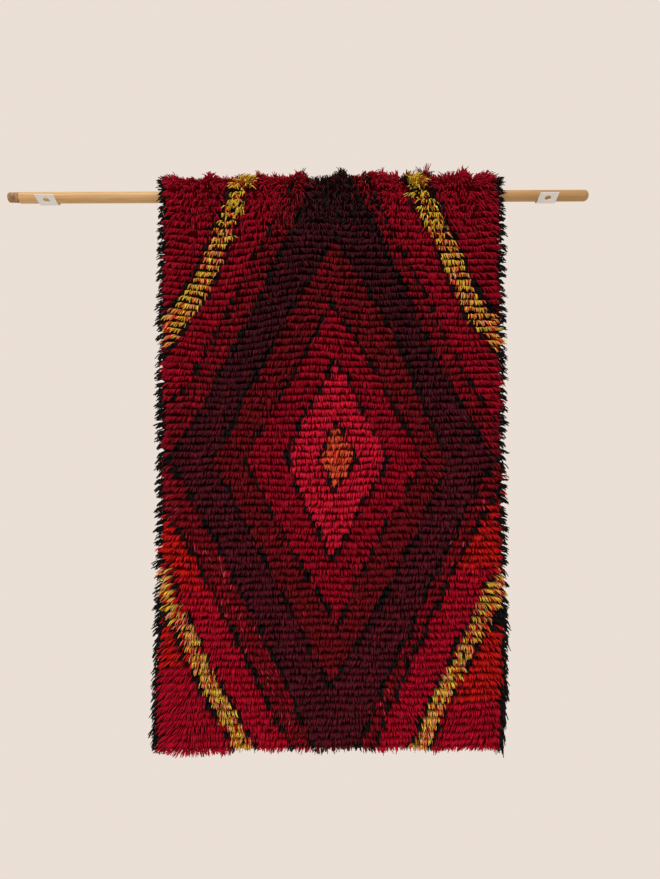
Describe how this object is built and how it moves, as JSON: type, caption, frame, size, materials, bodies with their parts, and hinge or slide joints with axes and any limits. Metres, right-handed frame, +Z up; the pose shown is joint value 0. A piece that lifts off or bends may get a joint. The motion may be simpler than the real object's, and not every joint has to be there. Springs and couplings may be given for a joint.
{
  "type": "rya rug and wooden pole",
  "caption": "Long-pile wool rya rug with nested lozenges in reds, hung by its rod pocket on a wooden pole in two wall hooks.",
  "frame": {"origin": "On the wall's face, level with the pole's axis and midway between the two hooks.", "axes": "+X along the pole to the right as seen from the room, +Y into the wall, +Z up."},
  "size_m": [1.2507, 0.0584, 1.2384],
  "materials": {
    "pole_wood": "smooth, lightly sealed, honey coloured, darker at the cut end",
    "ground_cloth": "plain ribbed wool and linen weave, matt, taupe",
    "pile_wool": "knotted long wool pile in rows: crimson, dark red, plum, scarlet, orange, gold, salmon and black",
    "hook_coating": "satin off-white",
    "screw_steel": "dull steel"
  },
  "bodies": {
    "root": {"pole": "pole_wood", "ground_weave": "ground_cloth", "pile": "pile_wool", "hook_left": "hook_coating", "hook_right": "hook_coating", "screw_left": "screw_steel", "screw_right": "screw_steel"}
  },
  "joints": []
}
